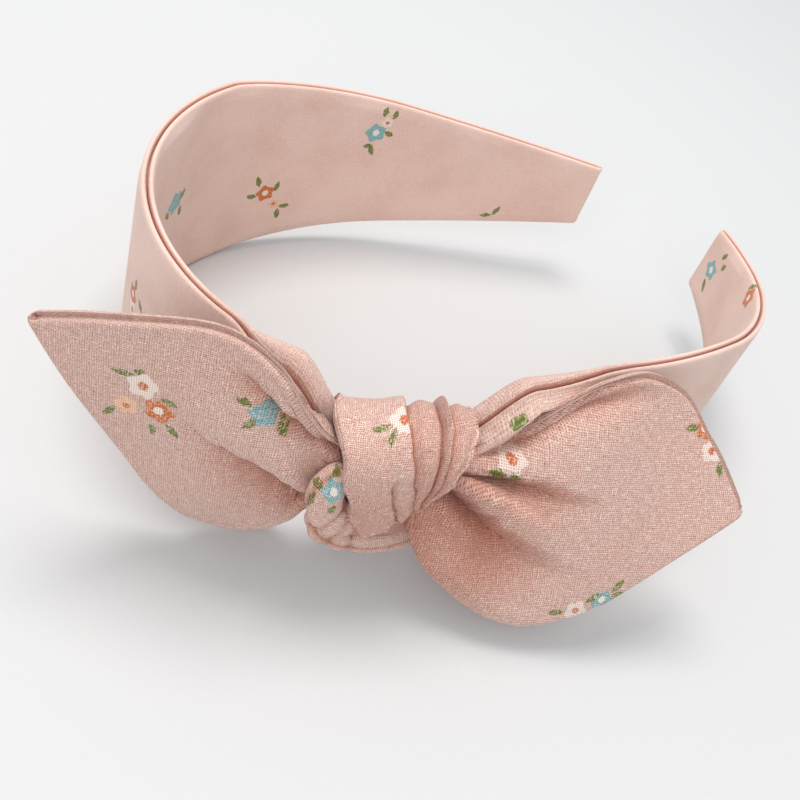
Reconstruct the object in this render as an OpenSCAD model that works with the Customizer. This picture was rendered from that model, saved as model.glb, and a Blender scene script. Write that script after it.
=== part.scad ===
// Knotted fabric headband: a sprung U-shaped band of cotton over a flexible core, with a separate
// cotton tie knotted round it to one side so that its two pointed tails stand out as a bow.
// The band lies on its lower long edge. +Z is across the band's height, +Y runs from the crown of
// the head curve towards the open ends, +X is the side that carries the knot.

/* [Band] */
// Length of the band from end to end, along its middle
band_len = 355; // [330:5:380]
// Height of the band over the crown
crown_h = 49.2; // [40:0.2:56]
// Height of the band at its square ends
end_h = 18; // [14:0.5:26]
// Length of each tapering arm, measured from the end
taper_len = 100; // [80:5:110]
// Thickness of the sprung core
core_t = 1.2; // [1:0.1:1.6]
// Thickness of one cloth face with its turnings
cloth_t = 0.7; // [0.5:0.05:0.9]
// Height of the rolled rim beyond the core's edge
rim_h = 2.4; // [2:0.1:3.5]
// Place of the crown's middle, from the origin
crown_mid = [-22.2, -56.2]; // [-80:0.1:80]

/* [Knot] */
// Distance of the knot from the crown's middle, along the band
knot_s = 42.6; // [30:0.2:60]
// Height of the gathered band inside the knot
waist_h = 24; // [22:0.5:26]
// Distance of the gathered stretch's middle from the knot's, towards the crown
waist_shift = 4.5; // [3:0.5:6]
// Half length of band that is gathered flat inside the knot
waist_flat = 10; // [9:0.5:12]
// Half length over which the gathers fan out to full height
waist_reach = 23; // [22:0.5:26]
// Heading of the knot's own axis in plan, degrees from +X
knot_heading = 48.5; // [44:0.5:52]
// Half depth of the knot, front to back
knot_a = 9.5; // [8:0.1:12]
// Half height of the knot
knot_b = 18.5; // [16:0.1:21]
// Distance of the knot's middle in front of the band
knot_out = 4; // [3:0.1:6]
// Thickness of the wrapped strip
wrap_t = 2.3; // [1.5:0.1:3]

/* [Tails] */
// Thickness of one cloth panel of the tie
panel_t = 0.55; // [0.4:0.05:0.8]
// Gap left between two touching cloths
cloth_gap = 0.05; // [0.03:0.01:0.1]
// Gap between a tail's two panels, which holds their seam allowances
panel_gap = 0.4; // [0.3:0.05:0.6]

/* [Flex] */
// Distance from the crown's middle to the left arm's flex line
left_flex = 72; // [60:1:80]
// Distance from the crown's middle to the right arm's flex line
right_flex = 86; // [80:1:92]
// Half the gap left at a flex line
flex_gap = 0.55; // [0.4:0.05:0.8]

/* [Hidden] */
half_len = band_len / 2;
half_crown = crown_h / 2;
pink = [0.87, 0.70, 0.66];
pink_lining = [0.83, 0.65, 0.61];
thread_pink = [0.80, 0.52, 0.49];
core_white = [0.93, 0.93, 0.91];
// Plan curve of the band from its left end: arc lengths on a 355 mm band, and the turn of each.
arcs = [[53, 4], [39, 25], [127, 160], [79, 26], [39, 51], [18, 10]];
left_heading = -137;
arc_scale = band_len / 355;
station_step = 4;

// Point and heading reached along one arc of given length and turn, from p = [x, y, heading].
function arc_end(p, len, turn) = turn == 0
    ? [p.x + len * cos(p.z), p.y + len * sin(p.z), p.z]
    : let (r = len / (turn * PI / 180))
      [p.x + r * (sin(p.z + turn) - sin(p.z)), p.y - r * (cos(p.z + turn) - cos(p.z)), p.z + turn];
function walk(d, p, i = 0) = let (len = arcs[i].x * arc_scale)
    d <= len || i == len(arcs) - 1
    ? arc_end(p, d, arcs[i].y * d / len)
    : walk(d - len, arc_end(p, len, arcs[i].y), i + 1);
raw_mid = walk(half_len, [0, 0, left_heading]);
start = [crown_mid.x - raw_mid.x, crown_mid.y - raw_mid.y, left_heading];
// Plan point and heading at distance s from the crown's middle.
function place(s) = walk(s + half_len, start);
// Point at distance s along the band, n outwards from its middle surface and z above its middle.
function band_point(s, n, z) = let (p = place(s))
    [p.x + n * sin(p.z), p.y - n * cos(p.z), z + half_crown];
function clamp01(t) = max(0, min(1, t));
function smooth(t) = let (c = clamp01(t)) c * c * (3 - 2 * c);
function waist(s) = smooth((waist_reach - abs(s - knot_s + waist_shift)) / (waist_reach - waist_flat));
function taper(s) = clamp01((abs(s) - half_len + taper_len) / taper_len);
// Half height of the band at distance s.
function half_h(s) = (crown_h - (crown_h - end_h) * taper(s) - (crown_h - waist_h) * waist(s)) / 2;
function lerp(a, b, t) = a + (b - a) * t;
// Distances at which sections are cut between s0 and s1: both ends, and the marks of one shared
// scale between them, so that layers lying on each other are cut at the same places.
function stations(s0, s1) = let (first = floor(s0 / station_step) + 1, last = ceil(s1 / station_step) - 1)
    concat([s0], [for (i = [first:last]) i * station_step], [s1]);

// Closed solid through a list of rings that all have the same number of points.
module loft(rings) {
    n = len(rings[0]);
    last = len(rings) - 1;
    points = [for (ring = rings) each ring];
    sides = [for (i = [0:last - 1], j = [0:n - 1]) let (a = i * n + j, b = i * n + (j + 1) % n)
        each [[a, b + n, b], [a, a + n, b + n]]];
    first_cap = [[for (j = [0:n - 1]) j]];
    last_cap = [[for (j = [n - 1:-1:0]) last * n + j]];
    polyhedron(points, concat(sides, first_cap, last_cap));
}

// The same for rings that are the two faces of a sheet, with caps stitched from face to face.
module zipped(rings) {
    n = len(rings[0]);
    last = len(rings) - 1;
    points = [for (ring = rings) each ring];
    sides = [for (i = [0:last - 1], j = [0:n - 1]) let (a = i * n + j, b = i * n + (j + 1) % n)
        each [[a, b + n, b], [a, a + n, b + n]]];
    caps = [for (j = [0:n / 2 - 2], end = [0, last]) let (
            a = end * n + j, b = a + 1, d = end * n + n - 1 - j, c = d - 1)
        each (end == 0 ? [[a, b, d], [b, c, d]] : [[a, d, b], [b, d, c]])];
    polyhedron(points, concat(sides, caps));
}

// Band cloth, core and thread: a profile in [outwards, up] swept along the band.
module sweep(s0, s1, profiles) {
    cuts = stations(s0, s1);
    loft([for (i = [0:len(cuts) - 1]) [for (q = profiles[i]) band_point(cuts[i], q.x, q.y)]]);
}
// Section of one cloth face: flat behind the core, then a rolled rim at each long edge.
function cloth_profile(h, side) = let (
        c = h - rim_h,
        back = core_t / 2 + cloth_gap,
        front = back + cloth_t,
        half = [[back, c], [0.25, c + 0.3], [0.25, c + 1.4], [cloth_gap, c + 1.6],
            [cloth_gap, h], [0.8, h], [front, h - 0.6]],
        up = [for (q = half) [side * q.x, q.y]],
        down = [for (i = [len(half) - 1:-1:0]) [side * half[i].x, -half[i].y]])
    side > 0 ? concat(down, up) : concat([for (i = [6:-1:0]) up[i]], [for (i = [6:-1:0]) down[i]]);
module cloth_strip(s0, s1, side) {
    sweep(s0, s1, [for (s = stations(s0, s1)) cloth_profile(half_h(s), side)]);
}
module core_strip(s0, s1) {
    t = core_t / 2;
    sweep(s0, s1, [for (s = stations(s0, s1)) let (c = half_h(s) - rim_h - 0.3)
        [[t, -c], [-t, -c], [-t, c], [t, c]]]);
}
module seam_thread(s0, s1, side) {
    r = 0.18;
    sweep(s0, s1, [for (s = stations(s0, s1)) let (c = side * (half_h(s) - rim_h + 0.8))
        [[r, c - r], [-r, c - r], [-r, c + r], [r, c + r]]]);
}
// A row of closing stitches down a square end, buried between the two cloths.
module end_stitches(s) {
    count = 5;
    p = place(s);
    reach = (end_h / 2 - rim_h - 1.5) * 2;
    for (i = [0:count - 1])
        translate([p.x, p.y, half_crown - reach / 2 + reach * i / (count - 1)])
            rotate(p.z) cube([0.9, 0.5, 1.1], center = true);
}

// Knot frame: origin on the band at the knot, x along the knot, y outwards, z up.
function knot_point(q) = let (p = place(knot_s), a = knot_heading)
    [p.x + q.x * cos(a) + q.y * sin(a), p.y + q.x * sin(a) - q.y * cos(a), q.z + half_crown];
function bez(p, t) = let (u = 1 - t)
    p[0] * u * u * u + 3 * p[1] * u * u * t + 3 * p[2] * u * t * t + p[3] * t * t * t;
function unit(v) = v / norm(v);

// Wrapped strip: left and right edges along the band, and the angle round it from the front.
wrap_from = -16;
wrap_to = 232;
// The wrap's back follows the curve of the band away from the knot.
function bowed(x, a) = x < 0 && cos(a) < 0 ? 0.008 * x * x * cos(a) : 0;
function wrap_left(a) = -9 - 9.3 * smooth((a + 38) / 80) + 7 * smooth((a - 100) / 80);
function wrap_right(a) = -4 + 12.5 * smooth((a + 38) / 100) - 4 * smooth((a - 100) / 80);
function squared(t) = sign(t) * pow(abs(t), 0.72);
// Point of the knot's squarish oval section, [outwards, up], at angle a from its front.
function oval_at(a, inset) = [knot_out + (knot_a - inset) * squared(cos(a)), (knot_b - inset) * squared(sin(a))];
module knot_wrap() {
    steps = 26;
    color(pink) loft([for (i = [0:steps]) let (
        a = lerp(wrap_from, wrap_to, i / steps),
        out = oval_at(a, 0), in = oval_at(a, wrap_t), mid = (out + in) / 2,
        l = wrap_left(a), r = wrap_right(a))
        [for (q = [[l, mid.x, mid.y], [l + 1, out.x, out.y], [r - 1, out.x, out.y],
            [r, mid.x, mid.y], [r - 1, in.x, in.y], [l + 1, in.x, in.y]])
            knot_point(q + [0, bowed(q.x, a), 0])]]);
}
// Crossing strand: the tie where it lies between the wrap and the front of the gathered band.
module knot_inner_strand() {
    front = core_t / 2 + cloth_t + 0.4;
    depth = knot_out + knot_a - wrap_t - 0.5 - front;
    reach = knot_b - wrap_t - 4.5;
    steps = 6;
    color(pink) loft([for (i = [0:steps]) let (x = lerp(-14, 1, i / steps), z0 = lerp(-0.5, -1.5, i / steps))
        [for (k = [0:12]) let (a = lerp(90, -90, k / 12))
            knot_point([x, front + depth * cos(a) * 0.92, z0 + reach * 0.77 * sin(a)])]]);
}
// Ring of an oval tube at a point of a path, standing across the path.
function tube_ring(p, along, half_w, half_t, n = 12) = let (
        d = unit(along),
        side = unit(cross(d, [0, 1, 0.15])),
        lift = cross(side, d))
    [for (k = [0:n - 1]) let (a = 360 * k / n)
        knot_point(p + side * half_w * cos(a) + lift * half_t * sin(a))];
module oval_tube(path, widths, half_t, steps = 14) {
    loft([for (i = [0:steps]) let (t = i / steps, e = 0.01)
        tube_ring(bez(path, t), bez(path, min(1, t + e)) - bez(path, max(0, t - e)),
            bez(widths, t), half_t)]);
}
// Loop of the tie that passes under the wrap's tucked end and below the band.
module knot_under_loop() {
    color(pink) oval_tube([[-17, 8.6, -0.6], [-17.5, 10, -13.5], [-6, 11, -15], [7, 5.5, -10]],
        [2.2, 3, 3, 2], 2.1);
}
// Small fold that puffs out beside the wrap, below the root of the left tail.
module knot_side_fold() {
    color(pink) oval_tube([[-19.8, 9.4, 9], [-22, 11.4, 7.5], [-22, 11.4, 4], [-19.6, 9.4, 1.5]],
        [1.2, 3, 3, 1.2], 1.9, 10);
}
// Tacking thread that ties the knot to the band from the inside.
module knot_tacking() {
    back = -core_t / 2 - cloth_t - 0.5;
    color(thread_pink) for (x = [-6, 0])
        loft([for (x1 = [x, x + 3]) [for (q = [[-0.2, -0.2], [-0.2, 0.2], [0.2, 0.2], [0.2, -0.2]])
            knot_point([x1, back + q.x, 6 + q.y])]]);
}

// Tails: a patch between a lower and an upper edge curve, in the knot frame.
left_lower = [[-21.5, 4.5, -2], [-26, 3.5, -22], [-37, 0, -17], [-45, -3, -14.6]];
left_upper = [[-19.5, 5.5, 15], [-29, 3, 36], [-50, -5, 37], [-70.5, -12.5, 23.3]];
right_lower = [[3.5, 11.8, -3], [3, 18, -16], [18, 26, -20], [38, 22, -13]];
right_upper = [[10.5, 5.5, 11.5], [24, 0.5, 25], [46, -5, 37], [64, 15, 9]];
// Depth of the long fold that runs from the root towards the end.
function fold(u, v, depth) = -depth * (1 - smooth(u * 1.1)) * sin(v * 360) * smooth(u * 6);
function patch(lower, upper, u, v, depth) =
    lerp(bez(lower, u), bez(upper, u), v) + [0, fold(u, v, depth) + 2.5 * sin(v * 180) * smooth(u * 3), 0];
// One panel of a tail, between two depths measured outwards from the patch.
module panel(lower, upper, from, to, depth) {
    across = 10;
    along = 16;
    color(pink) zipped([for (i = [0:along]) let (u = i / along) concat(
        [for (j = [0:across]) knot_point(patch(lower, upper, u, j / across, depth) + [0, to, 0])],
        [for (j = [across:-1:0]) knot_point(patch(lower, upper, u, j / across, depth) + [0, from, 0])])]);
}
// Half thickness of the thread. Its sign is that of the tail's direction along the band.
thread_t = 0.08;
// Seam thread between the two panels: along the upper edge, then down the slanted end.
module tail_thread(lower, upper, t, depth) {
    // Ring of a flat thread between two places [u, v] of the patch.
    function thread_ring(p, q) = [for (w = [[p, t], [p, -t], [q, -t], [q, t]])
        knot_point(patch(lower, upper, w[0].x, w[0].y, depth) + [0, w[1], 0])];
    color(thread_pink) {
        loft([for (i = [2:15]) thread_ring([i / 16, 0.9], [i / 16, 0.912])]);
        loft([for (j = [1:8]) thread_ring([15.1 / 16, j / 10], [15 / 16, j / 10])]);
    }
}

module core_crown() { color(core_white) core_strip(-left_flex + flex_gap, right_flex - flex_gap); }
module core_left_arm() { color(core_white) core_strip(-half_len + 2, -left_flex - flex_gap); }
module core_right_arm() { color(core_white) core_strip(right_flex + flex_gap, half_len - 2); }
module cover_crown_left() { color(pink) cloth_strip(-left_flex + flex_gap, knot_s - 0.05, 1); }
module cover_crown_right() { color(pink) cloth_strip(knot_s + 0.05, right_flex - flex_gap, 1); }
module cover_left_arm() { color(pink) cloth_strip(-half_len, -left_flex - flex_gap, 1); }
module cover_right_arm() { color(pink) cloth_strip(right_flex + flex_gap, half_len, 1); }
module lining_crown_left() { color(pink_lining) cloth_strip(-left_flex + flex_gap, knot_s - 0.05, -1); }
module lining_crown_right() { color(pink_lining) cloth_strip(knot_s + 0.05, right_flex - flex_gap, -1); }
module lining_left_arm() { color(pink_lining) cloth_strip(-half_len, -left_flex - flex_gap, -1); }
module lining_right_arm() { color(pink_lining) cloth_strip(right_flex + flex_gap, half_len, -1); }
module top_seam_crown() { color(thread_pink) seam_thread(-left_flex + 1, right_flex - 1, 1); }
module top_seam_left_arm() { color(thread_pink) seam_thread(-half_len + 1, -left_flex - 1, 1); }
module top_seam_right_arm() { color(thread_pink) seam_thread(right_flex + 1, half_len - 1, 1); }
module bottom_seam_crown() { color(thread_pink) seam_thread(-left_flex + 1, right_flex - 1, -1); }
module bottom_seam_left_arm() { color(thread_pink) seam_thread(-half_len + 1, -left_flex - 1, -1); }
module bottom_seam_right_arm() { color(thread_pink) seam_thread(right_flex + 1, half_len - 1, -1); }
module end_stitches_left() { color(thread_pink) end_stitches(-half_len + 1); }
module end_stitches_right() { color(thread_pink) end_stitches(half_len - 1); }
module left_tail_front() { panel(left_lower, left_upper, panel_gap / 2, panel_gap / 2 + panel_t, 2.5); }
module left_tail_back() { panel(left_lower, left_upper, -panel_gap / 2 - panel_t, -panel_gap / 2, 2.5); }
module left_tail_seam() { tail_thread(left_lower, left_upper, -thread_t, 2.5); }
module right_tail_front() { panel(right_lower, right_upper, panel_gap / 2 + panel_t, panel_gap / 2, -2.5); }
module right_tail_back() { panel(right_lower, right_upper, -panel_gap / 2, -panel_gap / 2 - panel_t, -2.5); }
module right_tail_seam() { tail_thread(right_lower, right_upper, thread_t, -2.5); }

core_crown();
core_left_arm();
core_right_arm();
cover_crown_left();
cover_crown_right();
cover_left_arm();
cover_right_arm();
lining_crown_left();
lining_crown_right();
lining_left_arm();
lining_right_arm();
top_seam_crown();
top_seam_left_arm();
top_seam_right_arm();
bottom_seam_crown();
bottom_seam_left_arm();
bottom_seam_right_arm();
end_stitches_left();
end_stitches_right();
knot_wrap();
knot_inner_strand();
knot_under_loop();
knot_side_fold();
knot_tacking();
left_tail_front();
left_tail_back();
left_tail_seam();
right_tail_front();
right_tail_back();
right_tail_seam();
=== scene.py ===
"""Looks of the knotted fabric headband: its cloth, folds, seams and print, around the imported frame.

Lengths are in millimetres in this script and become metres where a mesh is made. Row frame: +Z across
the band's height, +Y from the crown towards the open ends, +X towards the side with the knot.
"""

import math
from functools import lru_cache

import bpy
import numpy as np
from mathutils import Matrix, Vector, noise


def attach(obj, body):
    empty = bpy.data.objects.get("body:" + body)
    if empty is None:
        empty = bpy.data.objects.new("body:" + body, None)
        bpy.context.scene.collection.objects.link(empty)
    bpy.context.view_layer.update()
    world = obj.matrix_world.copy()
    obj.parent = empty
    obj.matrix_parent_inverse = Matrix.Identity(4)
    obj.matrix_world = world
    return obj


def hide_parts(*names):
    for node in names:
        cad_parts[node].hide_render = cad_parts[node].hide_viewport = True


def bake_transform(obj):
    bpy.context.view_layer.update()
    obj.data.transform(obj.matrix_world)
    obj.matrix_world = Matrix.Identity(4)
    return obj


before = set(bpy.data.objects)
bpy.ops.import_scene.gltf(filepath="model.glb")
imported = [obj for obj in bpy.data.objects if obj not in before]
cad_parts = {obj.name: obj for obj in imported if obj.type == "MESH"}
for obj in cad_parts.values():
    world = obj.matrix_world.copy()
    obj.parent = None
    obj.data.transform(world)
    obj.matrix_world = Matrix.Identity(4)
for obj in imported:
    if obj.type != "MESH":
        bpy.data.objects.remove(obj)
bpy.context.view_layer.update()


MM = 0.001

# ---------------------------------------------------------------- camera and light

CAMERA_PLACE = (57.795, -170.426, 182.085)
CAMERA_RIGHT = (0.76372, 0.58450, 0.27402)
CAMERA_UP = (-0.59625, 0.47602, 0.64644)
CAMERA_BACK = (0.24741, -0.65708, 0.71206)
SENSOR_WIDTH = 36
LENS_LENGTH = 49.5
NEAREST_SHOWN = 0.01
SKY_COLOUR = (0.93, 0.965, 1.0, 1)
SKY_STRENGTH = 0.79
# Each lamp's place in metres, size, power and colour.
LAMPS = {
    "key": ((-0.12, 0.08, 0.70), 0.34, 3.3, (1.0, 0.975, 0.95)),
    "fill": ((0.22, -0.68, 0.60), 0.60, 2.5, (1.0, 0.985, 0.97)),
}
LAMP_TARGET = (0, 0, 0.02)


def make_camera():
    lens = bpy.data.cameras.new("camera")
    lens.sensor_width = SENSOR_WIDTH
    lens.lens = LENS_LENGTH
    lens.clip_start = NEAREST_SHOWN
    camera = bpy.data.objects.new("camera", lens)
    turn = Matrix((CAMERA_RIGHT, CAMERA_UP, CAMERA_BACK)).transposed()
    camera.matrix_world = Matrix.Translation(Vector(CAMERA_PLACE) * MM) @ turn.to_4x4()
    bpy.context.scene.collection.objects.link(camera)
    bpy.context.scene.camera = camera


def area_light(name, spot, size, power, colour):
    lamp = bpy.data.lights.new(name, "AREA")
    lamp.shape = "DISK"
    lamp.size = size
    lamp.energy = power
    lamp.color = colour
    light = bpy.data.objects.new(name, lamp)
    light.location = spot
    direction = Vector(LAMP_TARGET) - Vector(spot)
    light.rotation_euler = direction.to_track_quat("-Z", "Y").to_euler()
    bpy.context.scene.collection.objects.link(light)


def make_lights():
    world = bpy.data.worlds.new("studio")
    world.use_nodes = True
    sky = world.node_tree.nodes["Background"]
    sky.inputs["Color"].default_value = SKY_COLOUR
    sky.inputs["Strength"].default_value = SKY_STRENGTH
    bpy.context.scene.world = world
    for name, (spot, size, power, colour) in LAMPS.items():
        area_light(name, spot, size, power, colour)
    view = bpy.context.scene.view_settings
    view.view_transform = "Standard"
    view.look = "None"


# ---------------------------------------------------------------- curves and shapes


def clamp01(t):
    return np.clip(t, 0.0, 1.0)


def smooth(t):
    """0 below 0, 1 above 1, and an S curve between."""
    c = clamp01(t)
    return c * c * (3 - 2 * c)


def rise(x, start, length):
    """0 up to start, 1 from start + length on, and an S curve between."""
    return smooth((x - start) / length)


def fall(x, start, length):
    """1 up to start, 0 from start + length on, and an S curve between."""
    return 1 - rise(x, start, length)


def lerp(a, b, t):
    return a + (b - a) * t


def hump(x, middle, width):
    """A rounded hump of height 1 round x = middle."""
    return np.exp(-(((x - middle) / width) ** 2))


def through(knots, x):
    """Value at x of a smooth profile through (position, value) pairs."""
    at = [k[0] for k in knots]
    value = [k[1] for k in knots]
    i = np.clip(np.searchsorted(at, x, side="right") - 1, 0, len(at) - 2)
    low = np.take(at, i)
    high = np.take(at, i + 1)
    return lerp(np.take(value, i), np.take(value, i + 1), smooth((x - low) / (high - low)))


def reach_over(points, axis):
    """Distance over a grid of points from its first row (axis 0) or column (axis 1)."""
    steps = np.linalg.norm(np.diff(points, axis=axis), axis=-1)
    return np.insert(np.cumsum(steps, axis=axis), 0, 0.0, axis=axis)


STEPS_BETWEEN_POINTS = 16


def curve_through(points):
    """Function of t in 0..1, by length, along a smooth curve through the points."""
    given = np.array(points, float)
    p = np.array([2 * given[0] - given[1], *given, 2 * given[-1] - given[-2]])
    t = np.linspace(0, 1, STEPS_BETWEEN_POINTS, endpoint=False)[:, None]
    line = []
    for before, here, ahead, beyond in zip(p, p[1:], p[2:], p[3:]):
        line.extend(0.5 * (2 * here + (ahead - before) * t
                           + (2 * before - 5 * here + 4 * ahead - beyond) * t * t
                           + (3 * here - before - 3 * ahead + beyond) * t ** 3))
    line = np.array([*line, given[-1]])
    reach = reach_over(line, 0)

    def at(t):
        return np.stack([np.interp(np.asarray(t) * reach[-1], reach, line[:, k]) for k in range(3)], -1)

    return at


def mottle(points, size, seed):
    """Smooth irregular values about -1..1 over an array of points."""
    flat = points.reshape(-1, points.shape[-1])
    value = [noise.noise(Vector((p[0] / size[0], p[1] / size[1], seed))) for p in flat]
    return 2.0 * np.array(value).reshape(points.shape[:-1])


def valley(v, middle, wide_below, wide_above):
    """A fold's dip: 1 at its bottom, and back to 0 within the given distances below and above it."""
    away = v - middle
    return clamp01(1 - np.where(away < 0, -away / wide_below, away / wide_above)) ** 1.6


# ---------------------------------------------------------------- the band's plan curve

BAND_LEN = 355.0
HALF_LEN = BAND_LEN / 2
CROWN_H = 49.2
END_H = 18.0
TAPER_LEN = 100.0
CROWN_MID = (-22.2, -56.2)
# Plan curve from the left end: length and turn in degrees of each arc.
ARCS = ((53, 4), (39, 25), (127, 160), (79, 26), (39, 51), (18, 10))
LEFT_HEADING = -137.0
KNOT_S = 42.6
KNOT_HEADING = 48.5
WAIST_H = 24.0
WAIST_SHIFT = 4.5
WAIST_FLAT = 10.0
WAIST_REACH = 23.0
LEFT_FLEX = -72.0
RIGHT_FLEX = 86.0


def walk(distance):
    """Point and heading reached from the left end, on a curve that starts at the origin."""
    x = 0.0
    y = 0.0
    heading = math.radians(LEFT_HEADING)
    for length, turn in ARCS:
        part = min(distance, length)
        radius = length / math.radians(turn)
        ahead = heading + part / radius
        x += radius * (math.sin(ahead) - math.sin(heading))
        y -= radius * (math.cos(ahead) - math.cos(heading))
        heading = ahead
        distance -= part
    return x, y, heading


RAW_MID = walk(HALF_LEN)


@lru_cache(maxsize=None)
def place(s):
    """Plan point and heading at distance s from the crown's middle."""
    x, y, heading = walk(s + HALF_LEN)
    return x + CROWN_MID[0] - RAW_MID[0], y + CROWN_MID[1] - RAW_MID[1], heading


def band_points(s, out, up):
    """Row-frame points at distances s along the band, out from its middle and up from mid-height."""
    spots = np.array([place(float(d)) for d in s.ravel()]).reshape(*s.shape, 3)
    x = spots[..., 0] + out * np.sin(spots[..., 2])
    y = spots[..., 1] - out * np.cos(spots[..., 2])
    return np.stack([x, y, up + CROWN_H / 2], -1)


def cut_half_height(s):
    """Half height of the band's cloth as cut, without its gathers."""
    return (CROWN_H - (CROWN_H - END_H) * clamp01((np.abs(s) - HALF_LEN + TAPER_LEN) / TAPER_LEN)) / 2


def gather(s):
    """How far the knot has drawn the band in at s, from 0 to 1."""
    return smooth((WAIST_REACH - np.abs(s - KNOT_S + WAIST_SHIFT)) / (WAIST_REACH - WAIST_FLAT))


def half_height(s):
    return cut_half_height(s) - (CROWN_H - WAIST_H) * gather(s) / 2


def knot_points(p):
    """Row-frame points for [along the knot, outwards, up from mid-height]."""
    x0, y0, _ = place(KNOT_S)
    a = math.radians(KNOT_HEADING)
    x = x0 + p[..., 0] * math.cos(a) + p[..., 1] * math.sin(a)
    y = y0 + p[..., 0] * math.sin(a) - p[..., 1] * math.cos(a)
    return np.stack([x, y, p[..., 2] + CROWN_H / 2], -1)


# ---------------------------------------------------------------- meshes


def unit(v):
    return v / np.maximum(np.linalg.norm(v, axis=-1, keepdims=True), 1e-9)


def normals_of(points):
    """Directions square to a grid of points: along its rows crossed with across them."""
    return unit(np.cross(np.gradient(points, axis=0), np.gradient(points, axis=1)))


def strip_faces(rows, columns, offset, flip):
    """Quads of a grid of rows by columns whose points start at index offset."""
    i, j = np.meshgrid(np.arange(rows - 1), np.arange(columns - 1), indexing="ij")
    a = (offset + i * columns + j).ravel()
    quads = np.stack([a, a + columns, a + columns + 1, a + 1], 1)
    return quads[:, ::-1] if flip else quads


def edge_faces(rows, columns, flip):
    """Quads that close the rim between a grid and its inner copy."""
    grid = np.arange(rows * columns).reshape(rows, columns)
    loop = np.concatenate([grid[0, :-1], grid[:-1, -1], grid[-1, :0:-1], grid[:0:-1, 0]])
    ahead = np.roll(loop, -1)
    inner = rows * columns
    quads = np.stack([loop, ahead, ahead + inner, loop + inner], 1)
    return quads[:, ::-1] if flip else quads


def link_mesh(name, verts, faces, material):
    """Smooth mesh object in the scene, from points in millimetres."""
    mesh = bpy.data.meshes.new(name)
    mesh.from_pydata((verts * MM).tolist(), [], faces)
    mesh.shade_smooth()
    mesh.materials.append(material)
    thing = bpy.data.objects.new(name, mesh)
    bpy.context.scene.collection.objects.link(thing)
    return thing


def lay_cloth(mesh, fabric, sharp_angle):
    """Writes cloth coordinates as UVs, and makes edges sharp that turn by more than an angle in degrees."""
    corner = np.zeros(len(mesh.loops), np.int32)
    mesh.loops.foreach_get("vertex_index", corner)
    layer = mesh.uv_layers.new(name="Fabric")
    layer.data.foreach_set("uv", fabric[corner].astype(np.float32).ravel())
    mesh.set_sharp_from_angle(angle=math.radians(sharp_angle))


def shell(name, points, fabric, depth, thickness, material, flip=False):
    """Cloth of some thickness under a grid of outer points, closed round its rim.

    fabric holds each point's cloth coordinates, and depth the painted shade of folds and creases on it, from
    0 to 1."""
    rows, columns = points.shape[:2]
    side = -1.0 if flip else 1.0
    inner = points - thickness * side * normals_of(points)
    verts = np.concatenate([points.reshape(-1, 3), inner.reshape(-1, 3)])
    faces = np.concatenate([
        strip_faces(rows, columns, 0, flip),
        strip_faces(rows, columns, rows * columns, not flip),
        edge_faces(rows, columns, flip)])
    thing = link_mesh(name, verts, faces.tolist(), material)
    lay_cloth(thing.data, np.tile(fabric.reshape(-1, 2), (2, 1)), 70)
    # Painted shade of folds and creases, which the cotton multiplies into its colour.
    fold = thing.data.attributes.new("fold", "FLOAT", "POINT")
    fold.data.foreach_set("value", np.tile(depth.ravel(), 2).astype(np.float32))
    return thing


THREAD_SIDES = 6


def thread_piece(name, line, radius):
    """Sewn thread along a line of points, closed at both ends, with its radius at each point."""
    ahead = unit(np.gradient(line, axis=0))
    side = unit(np.cross(ahead, np.broadcast_to((0, 0, 1.0), ahead.shape)))
    up = np.cross(side, ahead)
    turn = np.linspace(0, 2 * math.pi, THREAD_SIDES, endpoint=False)
    rings = (line[:, None] + side[:, None] * (radius[:, None] * np.cos(turn))[..., None]
             + up[:, None] * (radius[:, None] * np.sin(turn))[..., None])
    verts = np.concatenate([rings.reshape(-1, 3), line[:1], line[-1:]])
    last_ring = (len(line) - 1) * THREAD_SIDES
    first_tip = last_ring + THREAD_SIDES
    faces = []
    for j in range(THREAD_SIDES):
        k = (j + 1) % THREAD_SIDES
        for ring in range(0, last_ring, THREAD_SIDES):
            faces.append((ring + j, ring + k, ring + THREAD_SIDES + k, ring + THREAD_SIDES + j))
        faces.append((first_tip, k, j))
        faces.append((first_tip + 1, last_ring + j, last_ring + k))
    return link_mesh(name, verts, faces, THREAD)


# ---------------------------------------------------------------- material nodes


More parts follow.
